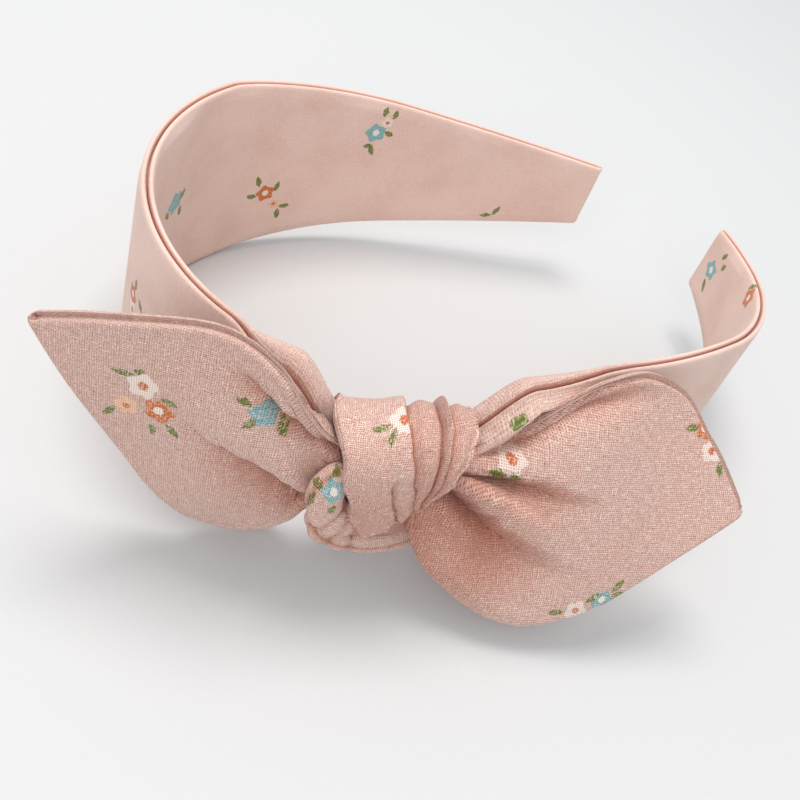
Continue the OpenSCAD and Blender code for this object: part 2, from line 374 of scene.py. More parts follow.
class Nodes:
    """Short ways to add nodes to one node tree."""

    def __init__(self, tree):
        self.tree = tree
        self.tree.nodes.clear()

    def add(self, kind, **settings):
        node = self.tree.nodes.new(kind)
        for key, value in settings.items():
            setattr(node, key, value)
        return node

    def put(self, socket, value):
        if isinstance(value, bpy.types.NodeSocket):
            self.tree.links.new(value, socket)
        else:
            socket.default_value = value

    def maths(self, operation, *values, clamp=False):
        node = self.add("ShaderNodeMath", operation=operation, use_clamp=clamp)
        for socket, value in zip(node.inputs, values):
            self.put(socket, value)
        return node.outputs[0]

    def times(self, a, b, clamp=False):
        return self.maths("MULTIPLY", a, b, clamp=clamp)

    def scaled(self, value, factor, offset):
        return self.maths("MULTIPLY_ADD", value, factor, offset)

    def vector(self, operation, *values):
        node = self.add("ShaderNodeVectorMath", operation=operation)
        for socket, value in zip(node.inputs, values):
            self.put(socket, value)
        return node.outputs["Vector"]

    def mix(self, factor, a, b, blend="MIX"):
        node = self.add("ShaderNodeMix", data_type="RGBA", blend_type=blend)
        self.put(node.inputs["Factor"], factor)
        self.put(node.inputs["A"], a)
        self.put(node.inputs["B"], b)
        return node.outputs["Result"]

    def split(self, vector):
        """First two parts of a vector."""
        node = self.add("ShaderNodeSeparateXYZ")
        self.put(node.inputs[0], vector)
        return node.outputs["X"], node.outputs["Y"]

    def noise(self, vector, scale, detail=2.0, rough=0.5, output="Fac"):
        node = self.add("ShaderNodeTexNoise")
        self.put(node.inputs["Vector"], vector)
        node.inputs["Scale"].default_value = scale
        node.inputs["Detail"].default_value = detail
        node.inputs["Roughness"].default_value = rough
        return node.outputs[output]

    def step(self, value, low, high):
        """0 at low and 1 at high, with a soft step between."""
        node = self.add("ShaderNodeMapRange", interpolation_type="SMOOTHSTEP")
        self.put(node.inputs["Value"], value)
        node.inputs["From Min"].default_value = low
        node.inputs["From Max"].default_value = high
        return node.outputs["Result"]

    def group(self, name, **values):
        node = self.add("ShaderNodeGroup", node_tree=GROUPS[name])
        for label, value in values.items():
            self.put(node.inputs[label], value)
        return node.outputs

    def bump(self, height, strength, distance):
        node = self.add("ShaderNodeBump")
        node.inputs["Strength"].default_value = strength
        node.inputs["Distance"].default_value = distance
        self.put(node.inputs["Height"], height)
        return node.outputs["Normal"]

    def surface(self, colour, roughness, normal=None):
        """Shader of the material, joined to its output; gives the shader's input sockets."""
        shader = self.add("ShaderNodeBsdfPrincipled")
        self.put(shader.inputs["Base Color"], colour)
        self.put(shader.inputs["Roughness"], roughness)
        if normal is not None:
            self.put(shader.inputs["Normal"], normal)
        out = self.add("ShaderNodeOutputMaterial")
        self.put(out.inputs["Surface"], shader.outputs[0])
        return shader.inputs


def new_group(name, inputs, outputs):
    """Empty node group with the given (name, type) sockets; gives its Nodes, input and output nodes."""
    tree = bpy.data.node_groups.new(name, "ShaderNodeTree")
    for label, kind in inputs:
        tree.interface.new_socket(label, in_out="INPUT", socket_type=kind)
    for label, kind in outputs:
        tree.interface.new_socket(label, in_out="OUTPUT", socket_type=kind)
    nodes = Nodes(tree)
    return nodes, nodes.add("NodeGroupInput"), nodes.add("NodeGroupOutput")


COLOUR = "NodeSocketColor"
NUMBER = "NodeSocketFloat"
VECTOR = "NodeSocketVector"
MARK_INPUTS = [("Base", COLOUR), ("Fabric", VECTOR), ("Centre", VECTOR), ("Turn", NUMBER), ("Size", NUMBER)]
THREAD_PITCH = 0.40


def weave_group():
    """Plain weave: height of the crossing threads, and how light each thread is."""
    nodes, given, out = new_group(
        "plain weave", [("Fabric", VECTOR)], [("Height", NUMBER), ("Fleck", NUMBER)])
    fabric = given.outputs["Fabric"]
    wander = nodes.noise(fabric, 0.55, output="Color")
    shifted = nodes.vector("ADD", fabric, nodes.vector("MULTIPLY", wander, (0.5, 0.5, 0.0)))
    along, across = nodes.split(shifted)
    warp = nodes.maths("SINE", nodes.times(along, math.pi / THREAD_PITCH))
    weft = nodes.maths("SINE", nodes.times(across, math.pi / THREAD_PITCH))
    over = nodes.times(warp, weft)
    warp_lift = nodes.scaled(over, 0.35, 0.65)
    weft_lift = nodes.scaled(over, -0.35, 0.65)
    warp_height = nodes.times(nodes.maths("ABSOLUTE", warp), warp_lift)
    weft_height = nodes.times(nodes.maths("ABSOLUTE", weft), weft_lift)
    warp_slub = nodes.noise(nodes.vector("MULTIPLY", fabric, (2.6, 0.5, 1.0)), 1.0, 1.0)
    weft_slub = nodes.noise(nodes.vector("MULTIPLY", fabric, (0.5, 2.6, 1.0)), 1.0, 1.0)
    slub = nodes.maths("ADD", warp_slub, weft_slub)
    grain = nodes.noise(fabric, 2.6, 2.0, 0.6)
    nodes.put(out.inputs["Height"], nodes.maths("MAXIMUM", warp_height, weft_height))
    nodes.put(out.inputs["Fleck"], nodes.scaled(slub, 0.22, nodes.times(grain, 0.56)))
    return nodes.tree


def local_place(nodes, given):
    """Cloth coordinates seen from a printed mark's own centre, with a slightly ragged edge."""
    fabric = given.outputs["Fabric"]
    ragged = nodes.vector("SUBTRACT", nodes.noise(fabric, 1.6, 3.0, output="Color"), (0.5, 0.5, 0.5))
    shaken = nodes.vector("ADD", fabric, nodes.vector("MULTIPLY", ragged, (0.9, 0.9, 0.0)))
    turned = nodes.add("ShaderNodeVectorRotate", rotation_type="Z_AXIS")
    nodes.put(turned.inputs["Vector"], nodes.vector("SUBTRACT", shaken, given.outputs["Centre"]))
    nodes.put(turned.inputs["Angle"], given.outputs["Turn"])
    return nodes.split(turned.outputs[0])


def blossom_group():
    """One small printed flower: five petals round a heart of another colour."""
    nodes, given, out = new_group(
        "blossom", [*MARK_INPUTS, ("Petal", COLOUR), ("Heart", COLOUR)], [("Colour", COLOUR)])
    x, y = local_place(nodes, given)
    far = nodes.maths("SQRT", nodes.maths("ADD", nodes.times(x, x), nodes.times(y, y)))
    share = nodes.maths("DIVIDE", far, given.outputs["Size"])
    lobes = nodes.maths("COSINE", nodes.times(nodes.maths("ARCTAN2", y, x), 5.0))
    edge = nodes.scaled(lobes, 0.12, 0.86)
    petal = nodes.step(nodes.maths("SUBTRACT", edge, share), -0.05, 0.07)
    heart = nodes.step(share, 0.36, 0.26)
    flower = nodes.mix(heart, given.outputs["Petal"], given.outputs["Heart"])
    nodes.put(out.inputs["Colour"], nodes.mix(petal, given.outputs["Base"], flower))
    return nodes.tree


def leaf_group():
    """One small printed leaf: a pointed oval, Size long from its middle to its tip."""
    nodes, given, out = new_group("leaf", [*MARK_INPUTS, ("Green", COLOUR)], [("Colour", COLOUR)])
    x, y = local_place(nodes, given)
    along = nodes.maths("DIVIDE", x, given.outputs["Size"])
    width = nodes.maths("SUBTRACT", 1.0, nodes.times(along, along))
    half = nodes.times(nodes.maths("MAXIMUM", width, 0.0), 0.76)
    mask = nodes.step(nodes.maths("SUBTRACT", half, nodes.maths("ABSOLUTE", y)), -0.02, 0.12)
    nodes.put(out.inputs["Colour"], nodes.mix(mask, given.outputs["Base"], given.outputs["Green"]))
    return nodes.tree


# The band is the same cotton as the tie, painted lighter as painted light, except by the knot, where it
# darkens back towards the tie's pink.
PINK = (0.585, 0.402, 0.343, 1)
BAND_PINK_PAINTED_LIGHTER = (0.800, 0.600, 0.520, 1)
BAND_PINK_BY_KNOT = (0.630, 0.430, 0.365, 1)
BLOTCH = (0.600, 0.345, 0.270, 1)
PALE_THREAD = (0.880, 0.700, 0.620, 1)
# These three multiply the colour: a dark thread, painted shade in the gaps between threads, and painted shade
# in folds and creases.
DARK_THREAD = (0.62, 0.40, 0.34, 1)
THREAD_GAP_SHADE = (0.50, 0.24, 0.18, 1)
FOLD_SHADE = (0.640, 0.300, 0.190, 1)
GREEN = (0.150, 0.195, 0.035, 1)
# Petal and heart colours of each kind of printed flower.
FLOWERS = {
    "blue": ((0.190, 0.420, 0.450, 1), (0.230, 0.450, 0.480, 1)),
    "blue white": ((0.190, 0.420, 0.450, 1), (0.800, 0.780, 0.720, 1)),
    "orange": ((0.560, 0.145, 0.018, 1), (0.850, 0.760, 0.680, 1)),
    "white": ((0.800, 0.720, 0.650, 1), (0.560, 0.150, 0.040, 1)),
    "peach": ((0.800, 0.500, 0.330, 1), (0.600, 0.180, 0.050, 1)),
}


def new_material(name):
    """Empty material, and the Nodes of its tree."""
    material = bpy.data.materials.new(name)
    material.use_nodes = True
    return material, Nodes(material.node_tree)


def print_marks(nodes, colour, fabric, marks):
    """Prints each flower and leaf over the colour so far."""
    for kind, along, across, size, turn in marks:
        where = {"Base": colour, "Fabric": fabric, "Centre": (along, across, 0),
                 "Turn": math.radians(-turn), "Size": size}
        if kind == "leaf":
            colour = nodes.group("leaf", Green=GREEN, **where)["Colour"]
        else:
            petal, heart = FLOWERS[kind]
            colour = nodes.group("blossom", Petal=petal, Heart=heart, **where)["Colour"]
    return colour


def cotton(name, marks=(), ground=PINK, contrast=1.0):
    """Pink plain-weave cotton. marks are (kind, along, across, size, turn in degrees) on the flat cloth.

    contrast is how strongly the threads differ. On the band it rises to 1 by the knot."""
    material, nodes = new_material(name)
    fabric = nodes.add("ShaderNodeUVMap", uv_map="Fabric").outputs["UV"]
    weave = nodes.group("weave", Fabric=fabric)
    fleck = weave["Fleck"]
    # Painted shade of folds and creases, from the mesh's fold attribute.
    fold = nodes.add("ShaderNodeAttribute", attribute_name="fold").outputs["Fac"]
    tone = nodes.times(nodes.step(nodes.noise(fabric, 0.07, 3.0), 0.35, 0.75), 0.30)
    colour = nodes.mix(tone, ground, BLOTCH)
    gap_shade_strength = 0.85
    if ground == BAND_PINK_PAINTED_LIGHTER:
        gap_shade_strength = 0.6
        # By the knot the band's painted light fades, and its colour goes back towards the tie's pink.
        along, _ = nodes.split(fabric)
        from_knot = nodes.maths("ABSOLUTE", nodes.maths("SUBTRACT", along, KNOT_S))
        near = nodes.step(from_knot, 58, 24)
        colour = nodes.mix(near, colour, BAND_PINK_BY_KNOT)
        contrast = nodes.scaled(near, 1.0 - contrast, contrast)
    colour = print_marks(nodes, colour, fabric, marks)
    pale = nodes.times(nodes.step(fleck, 0.46, 0.66), 0.70)
    dark = nodes.times(nodes.step(fleck, 0.46, 0.30), 0.75)
    # Painted shade in the hollows between the threads, where the weave is low.
    gap_shade = nodes.times(nodes.step(weave["Height"], 0.62, 0.20), gap_shade_strength)
    colour = nodes.mix(nodes.times(pale, contrast), colour, PALE_THREAD)
    colour = nodes.mix(nodes.times(dark, contrast), colour, DARK_THREAD, "MULTIPLY")
    colour = nodes.mix(nodes.times(gap_shade, contrast), colour, THREAD_GAP_SHADE, "MULTIPLY")
    # Painted shade: folds and creases darker and more salmon.
    colour = nodes.mix(nodes.times(fold, 0.95, clamp=True), colour, FOLD_SHADE, "MULTIPLY")
    height = nodes.scaled(fleck, 0.8, weave["Height"])
    roughness = nodes.scaled(fleck, -0.12, 0.93)
    shader = nodes.surface(colour, roughness, nodes.bump(height, 0.55, 0.00012))
    shader["Specular IOR Level"].default_value = 0.22
    shader["Sheen Weight"].default_value = 0.28
    shader["Sheen Roughness"].default_value = 0.45
    shader["Sheen Tint"].default_value = (1.0, 0.88, 0.84, 1)
    return material


def thread_material():
    """Twisted sewing thread."""
    material, nodes = new_material("sewing thread")
    wave = nodes.add("ShaderNodeTexWave", wave_type="BANDS", bands_direction="DIAGONAL")
    nodes.put(wave.inputs["Vector"], nodes.add("ShaderNodeTexCoord").outputs["Object"])
    wave.inputs["Scale"].default_value = 2200
    wave.inputs["Distortion"].default_value = 1.5
    twist = wave.outputs["Fac"]
    colour = nodes.mix(twist, (0.46, 0.26, 0.22, 1), (0.66, 0.44, 0.38, 1))
    roughness = nodes.scaled(twist, 0.2, 0.6)
    shader = nodes.surface(colour, roughness, nodes.bump(twist, 0.5, 0.00005))
    shader["Sheen Weight"].default_value = 0.2
    return material


def plastic_material():
    """Milky strip of the core, with faint lines from its extrusion."""
    material, nodes = new_material("core plastic")
    strip = nodes.add("ShaderNodeUVMap", uv_map="Fabric").outputs["UV"]
    lines = nodes.noise(nodes.vector("MULTIPLY", strip, (0.02, 2.5, 1.0)), 1.0, 3.0)
    cloud = nodes.step(nodes.noise(strip, 0.2), 0.3, 0.7)
    colour = nodes.mix(cloud, (0.80, 0.80, 0.77, 1), (0.88, 0.88, 0.86, 1))
    nodes.surface(colour, nodes.scaled(lines, 0.25, 0.32), nodes.bump(lines, 0.3, 0.00008))
    return material


def floor_material():
    """Pale paper with a faint grain."""
    material, nodes = new_material("pale paper")
    grain = nodes.noise(nodes.add("ShaderNodeTexCoord").outputs["Object"], 900.0, 3.0)
    colour = nodes.mix(grain, (0.588, 0.588, 0.588, 1), (0.610, 0.610, 0.609, 1))
    shader = nodes.surface(colour, nodes.scaled(grain, 0.1, 0.6))
    shader["Specular IOR Level"].default_value = 0.3
    return material


GROUPS = {"weave": weave_group(), "blossom": blossom_group(), "leaf": leaf_group()}
THREAD = thread_material()
PLASTIC = plastic_material()

# ---------------------------------------------------------------- the band

CLOTH = 0.35
# Height from the core's edge to the band's.
CORE_GAP = 2.7
CORE_END_GAP = 2.0
# The band's cloths are cut inside the knot, with this gap to either side of its middle.
CUT_GAP = 0.05
SEAM_CUT_GAP = 0.3
SEAM_END_GAP = 1.0
STITCH_PITCH = 2.8
# Rolled rim of one cloth, from the groove over the seam to the flat face: distance out from the
# band's middle, and distance in from its edge.
RIM = ((0.12, 1.6), (0.13, 0.9), (0.26, 0.34), (0.52, 0.06), (0.80, 0.0), (1.06, 0.14), (1.24, 0.5),
       (1.32, 1.1), (1.33, 1.9))
RIM_INSET = RIM[-1][1]
# Distance over the rolled rim from the flat face to each of its points.
RIM_REACH = reach_over(np.array(RIM)[::-1], 0)[::-1]


def band_stations(s0, s1):
    """Places along the band: close together by the knot and at an end."""
    marks = [s0]
    while marks[-1] < s1 - 0.4:
        s = marks[-1]
        by_knot = abs(s - KNOT_S) < 42
        by_end = HALF_LEN - abs(s) < 4
        marks.append(min(s1, s + (0.35 if by_end else 0.8 if by_knot else 1.5)))
    marks[-1] = s1
    return np.array(marks)


def pleats(s, v, wave, shift):
    """Gathers that run out from the knot over the band's cloth: height 0..1 of their ridges."""
    wander = v + 1.1 * np.sin(v / 4.1 + shift) + 0.02 * (s - KNOT_S) * np.sin(v / 7.0 + 2 * shift)
    return np.abs(np.sin(math.pi * wander / wave + shift)) ** 0.75


def rim_lean(s, away, side):
    """How the knot drags the top rim, by distance from the seam: shift outwards and upwards."""
    left = rise(s, 2, 14)
    right = 0.45 * fall(s, 60, 26)
    pull = np.where(s < KNOT_S, left, right)
    out = 3.6 * pull * fall(away, 0, 9)
    up = -3.0 * pull * fall(away, 0, 7)
    if side < 0:
        up = up + 3.8 * pull * hump(away, 4.0, 2.6)
    return out, up


def band_cloth(name, s0, s1, side, material, wave, shift, height, ripple):
    """One face of the band between s0 and s1: side is 1 for the cover and -1 for the lining.

    wave, shift and height are the pitch, place and height of its gathers, and ripple how uneven it is."""
    s = band_stations(s0, s1)
    face = np.linspace(-1, 1, 69)
    rim_out, rim_in = np.array(RIM).T
    over = RIM_REACH
    cut = cut_half_height(s)[:, None] - RIM_INSET
    drawn = half_height(s)[:, None]
    inner = face[1:-1]
    v = np.concatenate([-(cut + over[None]), inner[None] * cut, (cut + over[None])[:, ::-1]], 1)
    z = np.concatenate([-(drawn - rim_in[None]), inner[None] * (drawn - RIM_INSET),
                        (drawn - rim_in[None])[:, ::-1]], 1)
    out = np.concatenate([rim_out, np.full(len(inner), rim_out[-1]), rim_out[::-1]])[None]
    along = s[:, None] * np.ones_like(v)
    on_face = smooth((cut + 1.4 - np.abs(v)) / 2.6)
    away = np.abs(along - KNOT_S + 2.0)
    pulled = np.sqrt(gather(along)) * (1 - 0.75 * fall(away, 6, 5))
    soft = 0.42 * fall(away, 26, 20) * (1 - gather(along))
    ridge = pleats(along, v, wave, shift)
    puff = height * (pulled + soft) * ridge
    blotches = ripple * (0.5 + 0.5 * mottle(np.stack([along, v], -1), (13.0, 30.0), shift))
    if side > 0:
        puff = puff + 2.0 * hump(cut + over[0] - v, 6.5, 3.5) * hump(along, 60, 8)
    out = out + on_face * (puff + blotches)
    flat_end = HALF_LEN - np.abs(along)
    rounding = np.sqrt(np.maximum(1 - (1 - clamp01((flat_end + 0.02) / 1.1)) ** 2, 0.01))
    out = out * rounding
    lean_out, lean_up = rim_lean(along, cut + over[0] - v, side)
    points = band_points(along, side * out + lean_out, z + lean_up)
    fabric = np.stack([along, v], -1)
    # Painted shade: darker in the valleys of the gathers by the knot, and in the groove along each rim.
    depth = on_face * (pulled + soft) * (1 - ridge) ** 1.5
    groove = fall(out, 0.15, 0.3) * (1 - on_face) * rise(flat_end, 0, 2)
    return shell(name, points, fabric, np.maximum(depth, 0.9 * groove), CLOTH, material, flip=side < 0)


def core_piece(name, s0, s1):
    """Sprung strip between the two cloths, with small chamfers along its edges."""
    s = band_stations(s0, s1)
    reach = (half_height(s) - CORE_GAP)[:, None]
    # Distance out from the band's middle, and share of the half height, round the strip.
    profile = np.array([[0.55, -1], [0.6, -0.96], [0.6, 0.96], [0.55, 1], [-0.55, 1], [-0.6, 0.96],
                        [-0.6, -0.96], [-0.55, -1], [0.55, -1]])
    along = s[:, None] * np.ones((1, len(profile)))
    points = band_points(along, profile[None, :, 0] * np.ones_like(along), profile[None, :, 1] * reach)
    rows, columns = along.shape
    faces = strip_faces(rows, columns, 0, False).tolist()
    faces.append(list(range(columns - 1)))
    faces.append([(rows - 1) * columns + j for j in range(columns - 2, -1, -1)])
    thing = link_mesh(name, points.reshape(-1, 3), faces, PLASTIC)
    lay_cloth(thing.data, np.stack([along, profile[None, :, 1] * reach], -1).reshape(-1, 2), 50)
    return thing


def band_seam(name, s0, s1, side):
    """Stitched thread in the groove of the rim, at the top for side 1 and the bottom for side -1."""
    s = np.arange(s0, s1, STITCH_PITCH / 4)
    level = side * (half_height(s) - 1.7)
    stitch = np.cos(s * 2 * math.pi / STITCH_PITCH)
    lean_out, lean_up = rim_lean(s, 0 * s, 1) if side > 0 else (0 * s, 0 * s)
    points = band_points(s, lean_out, level + lean_up + 0.05 * stitch)
    return thread_piece(name, points, 0.13 + 0.05 * np.abs(stitch))


# Length of band to either side of a flex line over which the bend is spread.
BLEND_REACH = 17.0
# The band left and right of the knot: the body beyond the flex line, and the step along the band to it.
LEFT_HALF = ("left_arm", LEFT_FLEX, -BLEND_REACH)
RIGHT_HALF = ("right_arm", RIGHT_FLEX, BLEND_REACH)


def fit_band_piece(piece, half, slot_name, *nodes):
    """Hides the CAD nodes that a piece of the band stands for, and bakes the piece's transform into its mesh.
    """
    body, flex, reach = half
    x, y, heading = place(flex)
    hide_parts(*nodes)
    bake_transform(piece)


LEFT_COVER_MARKS = (
    ("orange", -25.2, 4.6, 2.4, 0), ("white", -24.4, 1.2, 2.3, 0), ("leaf", -20.5, 6.0, 1.5, 144),
    ("leaf", -24.1, 8.0, 1.6, 84), ("blue", -70.0, 8.0, 2.6, 30), ("leaf", -73.5, 9.5, 1.8, 20),
    ("leaf", -67.0, 5.5, 1.7, -50), ("orange", -112.0, -4.0, 2.6, 0), ("leaf", -108.6, -5.5, 1.8, -30),
    ("leaf", -114.5, -1.0, 1.7, 130), ("white", -145.0, 2.0, 2.7, 0), ("leaf", -141.8, 0.5, 1.7, -20),
)
RIGHT_COVER_MARKS = (
    ("leaf", 57.1, 22.4, 1.4, -16), ("blue white", 100.0, -8.0, 2.6, 0), ("leaf", 103.4, -9.4, 1.8, -25),
    ("leaf", 97.2, -5.6, 1.7, 140), ("orange", 140.0, -3.0, 2.5, 0), ("leaf", 143.2, -4.4, 1.7, -30),
)
LEFT_LINING_MARKS = (
    ("blue white", -116.1, 10.1, 2.8, 0), ("leaf", -115.2, 6.2, 1.5, 176), ("leaf", -116.2, 5.0, 1.7, 65),
    ("leaf", -119.4, 10.1, 1.4, 26), ("leaf", -117.1, 16.0, 1.3, 99), ("leaf", -119.7, 15.4, 1.3, 107),
    ("white", -118.3, 13.1, 1.6, 0), ("orange", -90.9, -7.4, 2.6, 0), ("leaf", -88.4, -3.6, 1.8, 72),
    ("leaf", -93.7, -5.6, 1.6, 103), ("leaf", -87.3, -8.0, 1.6, -164), ("peach", -94.0, -11.0, 1.7, 0),
    ("leaf", -97.0, -11.9, 1.6, 179), ("leaf", -95.5, -14.3, 1.7, 83), ("blue", -59.8, 1.6, 3.2, 0),
    ("leaf", -63.0, 2.2, 1.6, 134), ("leaf", -62.7, -2.3, 1.6, 86), ("leaf", -56.7, -0.3, 1.5, 57),
    ("leaf", -151.8, -10.3, 1.7, 170), ("leaf", -154.2, -8.5, 1.7, 113),
)
RIGHT_LINING_MARKS = (
    ("blue white", 171.4, 0.5, 2.8, 0), ("leaf", 170.5, -4.1, 2.0, 53), ("leaf", 169.4, 6.8, 1.5, 116),
    ("leaf", 167.3, 4.9, 1.3, 112), ("orange", 149.9, 10.4, 2.7, 0), ("leaf", 152.2, 12.4, 2.1, 119),
)


def make_band():
    left_of_knot = KNOT_S - CUT_GAP
    right_of_knot = KNOT_S + CUT_GAP
    seam_end = HALF_LEN - SEAM_END_GAP
    left = band_cloth("cover_left", -HALF_LEN, left_of_knot, 1,
                      cotton("cover cotton left", LEFT_COVER_MARKS, BAND_PINK_PAINTED_LIGHTER, 0.6),
                      wave=8.6, shift=0.4, height=3.0, ripple=0.25)
    fit_band_piece(left, LEFT_HALF, "floral_cotton", "cover_crown_left", "cover_left_arm")
    right = band_cloth("cover_right", right_of_knot, HALF_LEN, 1,
                       cotton("cover cotton right", RIGHT_COVER_MARKS, BAND_PINK_PAINTED_LIGHTER, 0.6),
                       wave=7.4, shift=1.3, height=4.2, ripple=0.25)
    fit_band_piece(right, RIGHT_HALF, "floral_cotton", "cover_crown_right", "cover_right_arm")
    left_lining = band_cloth("lining_left", -HALF_LEN, left_of_knot, -1,
                             cotton("lining cotton left", LEFT_LINING_MARKS, BAND_PINK_PAINTED_LIGHTER, 0.5),
                             wave=7.9, shift=2.1, height=2.0, ripple=0.55)
    fit_band_piece(left_lining, LEFT_HALF, "floral_cotton", "lining_crown_left", "lining_left_arm")
    right_lining = band_cloth("lining_right", right_of_knot, HALF_LEN, -1,
                              cotton("lining cotton right", RIGHT_LINING_MARKS, BAND_PINK_PAINTED_LIGHTER, 0.5),
                              wave=7.1, shift=0.9, height=2.0, ripple=0.55)
    fit_band_piece(right_lining, RIGHT_HALF, "floral_cotton", "lining_crown_right", "lining_right_arm")
    core = core_piece("core_left", CORE_END_GAP - HALF_LEN, left_of_knot)
    fit_band_piece(core, LEFT_HALF, "core_plastic", "core_crown", "core_left_arm")
    core = core_piece("core_right", right_of_knot, HALF_LEN - CORE_END_GAP)
    fit_band_piece(core, RIGHT_HALF, "core_plastic", "core_right_arm")
    seam = band_seam("seam_top_left", -seam_end, KNOT_S - SEAM_CUT_GAP, 1)
    fit_band_piece(seam, LEFT_HALF, "sewing_thread", "top_seam_crown", "top_seam_left_arm")
    seam = band_seam("seam_top_right", KNOT_S + SEAM_CUT_GAP, seam_end, 1)
    fit_band_piece(seam, RIGHT_HALF, "sewing_thread", "top_seam_right_arm")
    seam = band_seam("seam_bottom_left", -seam_end, KNOT_S - SEAM_CUT_GAP, -1)
    fit_band_piece(seam, LEFT_HALF, "sewing_thread", "bottom_seam_crown", "bottom_seam_left_arm")
    seam = band_seam("seam_bottom_right", KNOT_S + SEAM_CUT_GAP, seam_end, -1)
    fit_band_piece(seam, RIGHT_HALF, "sewing_thread", "bottom_seam_right_arm")


# ---------------------------------------------------------------- the knot

KNOT_A = 9.5
KNOT_B = 18.5
KNOT_OUT = 4.0
# Wrap's left and right edges along the knot, by the angle round it from its front, in degrees.
WRAP_LEFT = ((-16, -11.6), (-5, -13.8), (8, -14.8), (32, -17.6), (90, -19.2), (130, -16.8), (232, -12))
WRAP_RIGHT = ((-16, -6.0), (0, -3.0), (14, -0.6), (32, 3.0), (60, 5.6), (90, 7.4), (130, 7.8), (232, 6))
# Angle at which the wrap is tucked under in front, by the share of its width.
WRAP_TUCK = ((0, 2.5), (0.16, -0.5), (0.33, -6), (0.5, -3.5), (0.68, -1.0), (0.76, 3), (0.88, 2), (1, 9))
# Share of the width at which each of its creases lies, by angle: the folds close up as they run down.
FIRST_CREASE = ((-5, 0.95), (5, 0.93), (15, 0.80), (32, 0.63), (60, 0.53), (90, 0.50))
SECOND_CREASE = ((-5, 0.975), (5, 0.965), (15, 0.92), (32, 0.82), (60, 0.75), (90, 0.73))
THIRD_CREASE = ((-5, 0.99), (5, 0.985), (15, 0.965), (32, 0.885), (60, 0.82), (90, 0.81))
NOTCH = ((-5, 0.84), (0, 0.78), (15, 0.54), (28, 0.46), (40, 0.45))
# Height of the wrap's folds, by place across it with the creases at 0.56, 0.76 and 0.87.
WRAP_FOLDS = ((0, 0.1), (0.3, 0.35), (0.535, 0.95), (0.57, -0.75), (0.66, 0.5), (0.735, 0.2), (0.762, -0.85),
              (0.815, 1.35), (0.855, 0.5), (0.872, -0.45), (0.935, 0.5), (1.0, -0.4))


def fold_place(angle, share):
    """Place across the wrap in terms of its creases, which move sideways as it narrows."""
    first = through(FIRST_CREASE, angle)
    second = through(SECOND_CREASE, angle)
    third = through(THIRD_CREASE, angle)
    return np.select(
        [share < first, share < second, share < third],
        [0.56 * share / first,
         0.56 + 0.20 * (share - first) / (second - first),
         0.76 + 0.11 * (share - second) / (third - second)],
        0.87 + 0.13 * (share - third) / (1 - third))


def squared(t):
    """Draws a sine or cosine out towards the corners, so that a turn made with it is squarer than round."""
    return np.sign(t) * np.abs(t) ** 0.72


def wrap_surface(angle, share):
    """Points [along, outwards, up] of the wrap's outer face, without its rolled edges."""
    a = np.radians(angle)
    x = lerp(through(WRAP_LEFT, angle), through(WRAP_RIGHT, angle), share)
    out = np.cos(a)
    up = np.sin(a)
    spot = fold_place(angle, share)
    squeezed = np.clip((1 - through(FIRST_CREASE, angle)) / 0.45, 0.12, 1)
    calm = (1 - 0.5 * rise(angle, 120, 60)) * np.where(spot > 0.52, squeezed, 1)
    lift = through(WRAP_FOLDS, spot) * calm
    notch = -1.0 * valley(share, through(NOTCH, angle), 0.03, 0.16) * fall(angle, 24, 14)
    crest = 0.8 * hump(spot, 0.815, 0.035) * hump(angle, 95, 26)
    wave = 0.22 * np.sin(share * 8 + angle / 35) * rise(angle, 0, 60)
    lift = lift + notch + crest + wave
    p = np.stack([x, KNOT_OUT + (KNOT_A + lift) * squared(out), (KNOT_B + lift) * squared(up)], -1)
    p[..., 1] += np.where((x < 0) & (out < 0), 0.008 * x * x * out, 0)
    return p


WRAP_MARKS = (
    ("white", 26.8, -2.0, 3.1, 0), ("leaf", 25.6, -5.9, 2.1, 70), ("leaf", 23.9, -3.6, 1.9, -180),
)
# Angles round the wrap's rolled edges, from the hidden side to the face, and the radius of the roll.
ROLL = np.radians([150, 120, 90, 60, 30])
ROLL_RADIUS = 1.1
# Beyond its rolled right edge the cloth goes on into the knot: how far in, and how far back under.
TURNED_IN = np.array([1.8, 3.6, 5.4])
TURNED_UNDER = np.array([0.5, 1.1, 1.8])
WRAP_COLUMNS = 91
WRAP_ROWS = 121
# Angle at which the wrap ends, behind the band, and the thickness of its cloth and of the tubes'.
WRAP_END = 232.0
WRAP_CLOTH = 0.5
TUBE_CLOTH = 0.3


def wrap_folds_shade(angle, share):
    """Painted shade on each place of the wrap: along its creases and notch, over its lower part, which faces
    down, and over its bundle of folds.
    """
    spot = fold_place(angle, share)
    crease_shade = (hump(spot, 0.57, 0.014) + hump(spot, 0.762, 0.016) + hump(spot, 0.872, 0.014)
              + 0.6 * hump(share, through(NOTCH, angle), 0.02) * fall(angle, 24, 14))
    # Painted shade over the lower part, which faces down, and over the bundle of folds.
    under = 0.34 * fall(angle, -10, 60) + 0.22 * rise(spot, 0.5, 0.1)
    return clamp01(0.75 * crease_shade + under)


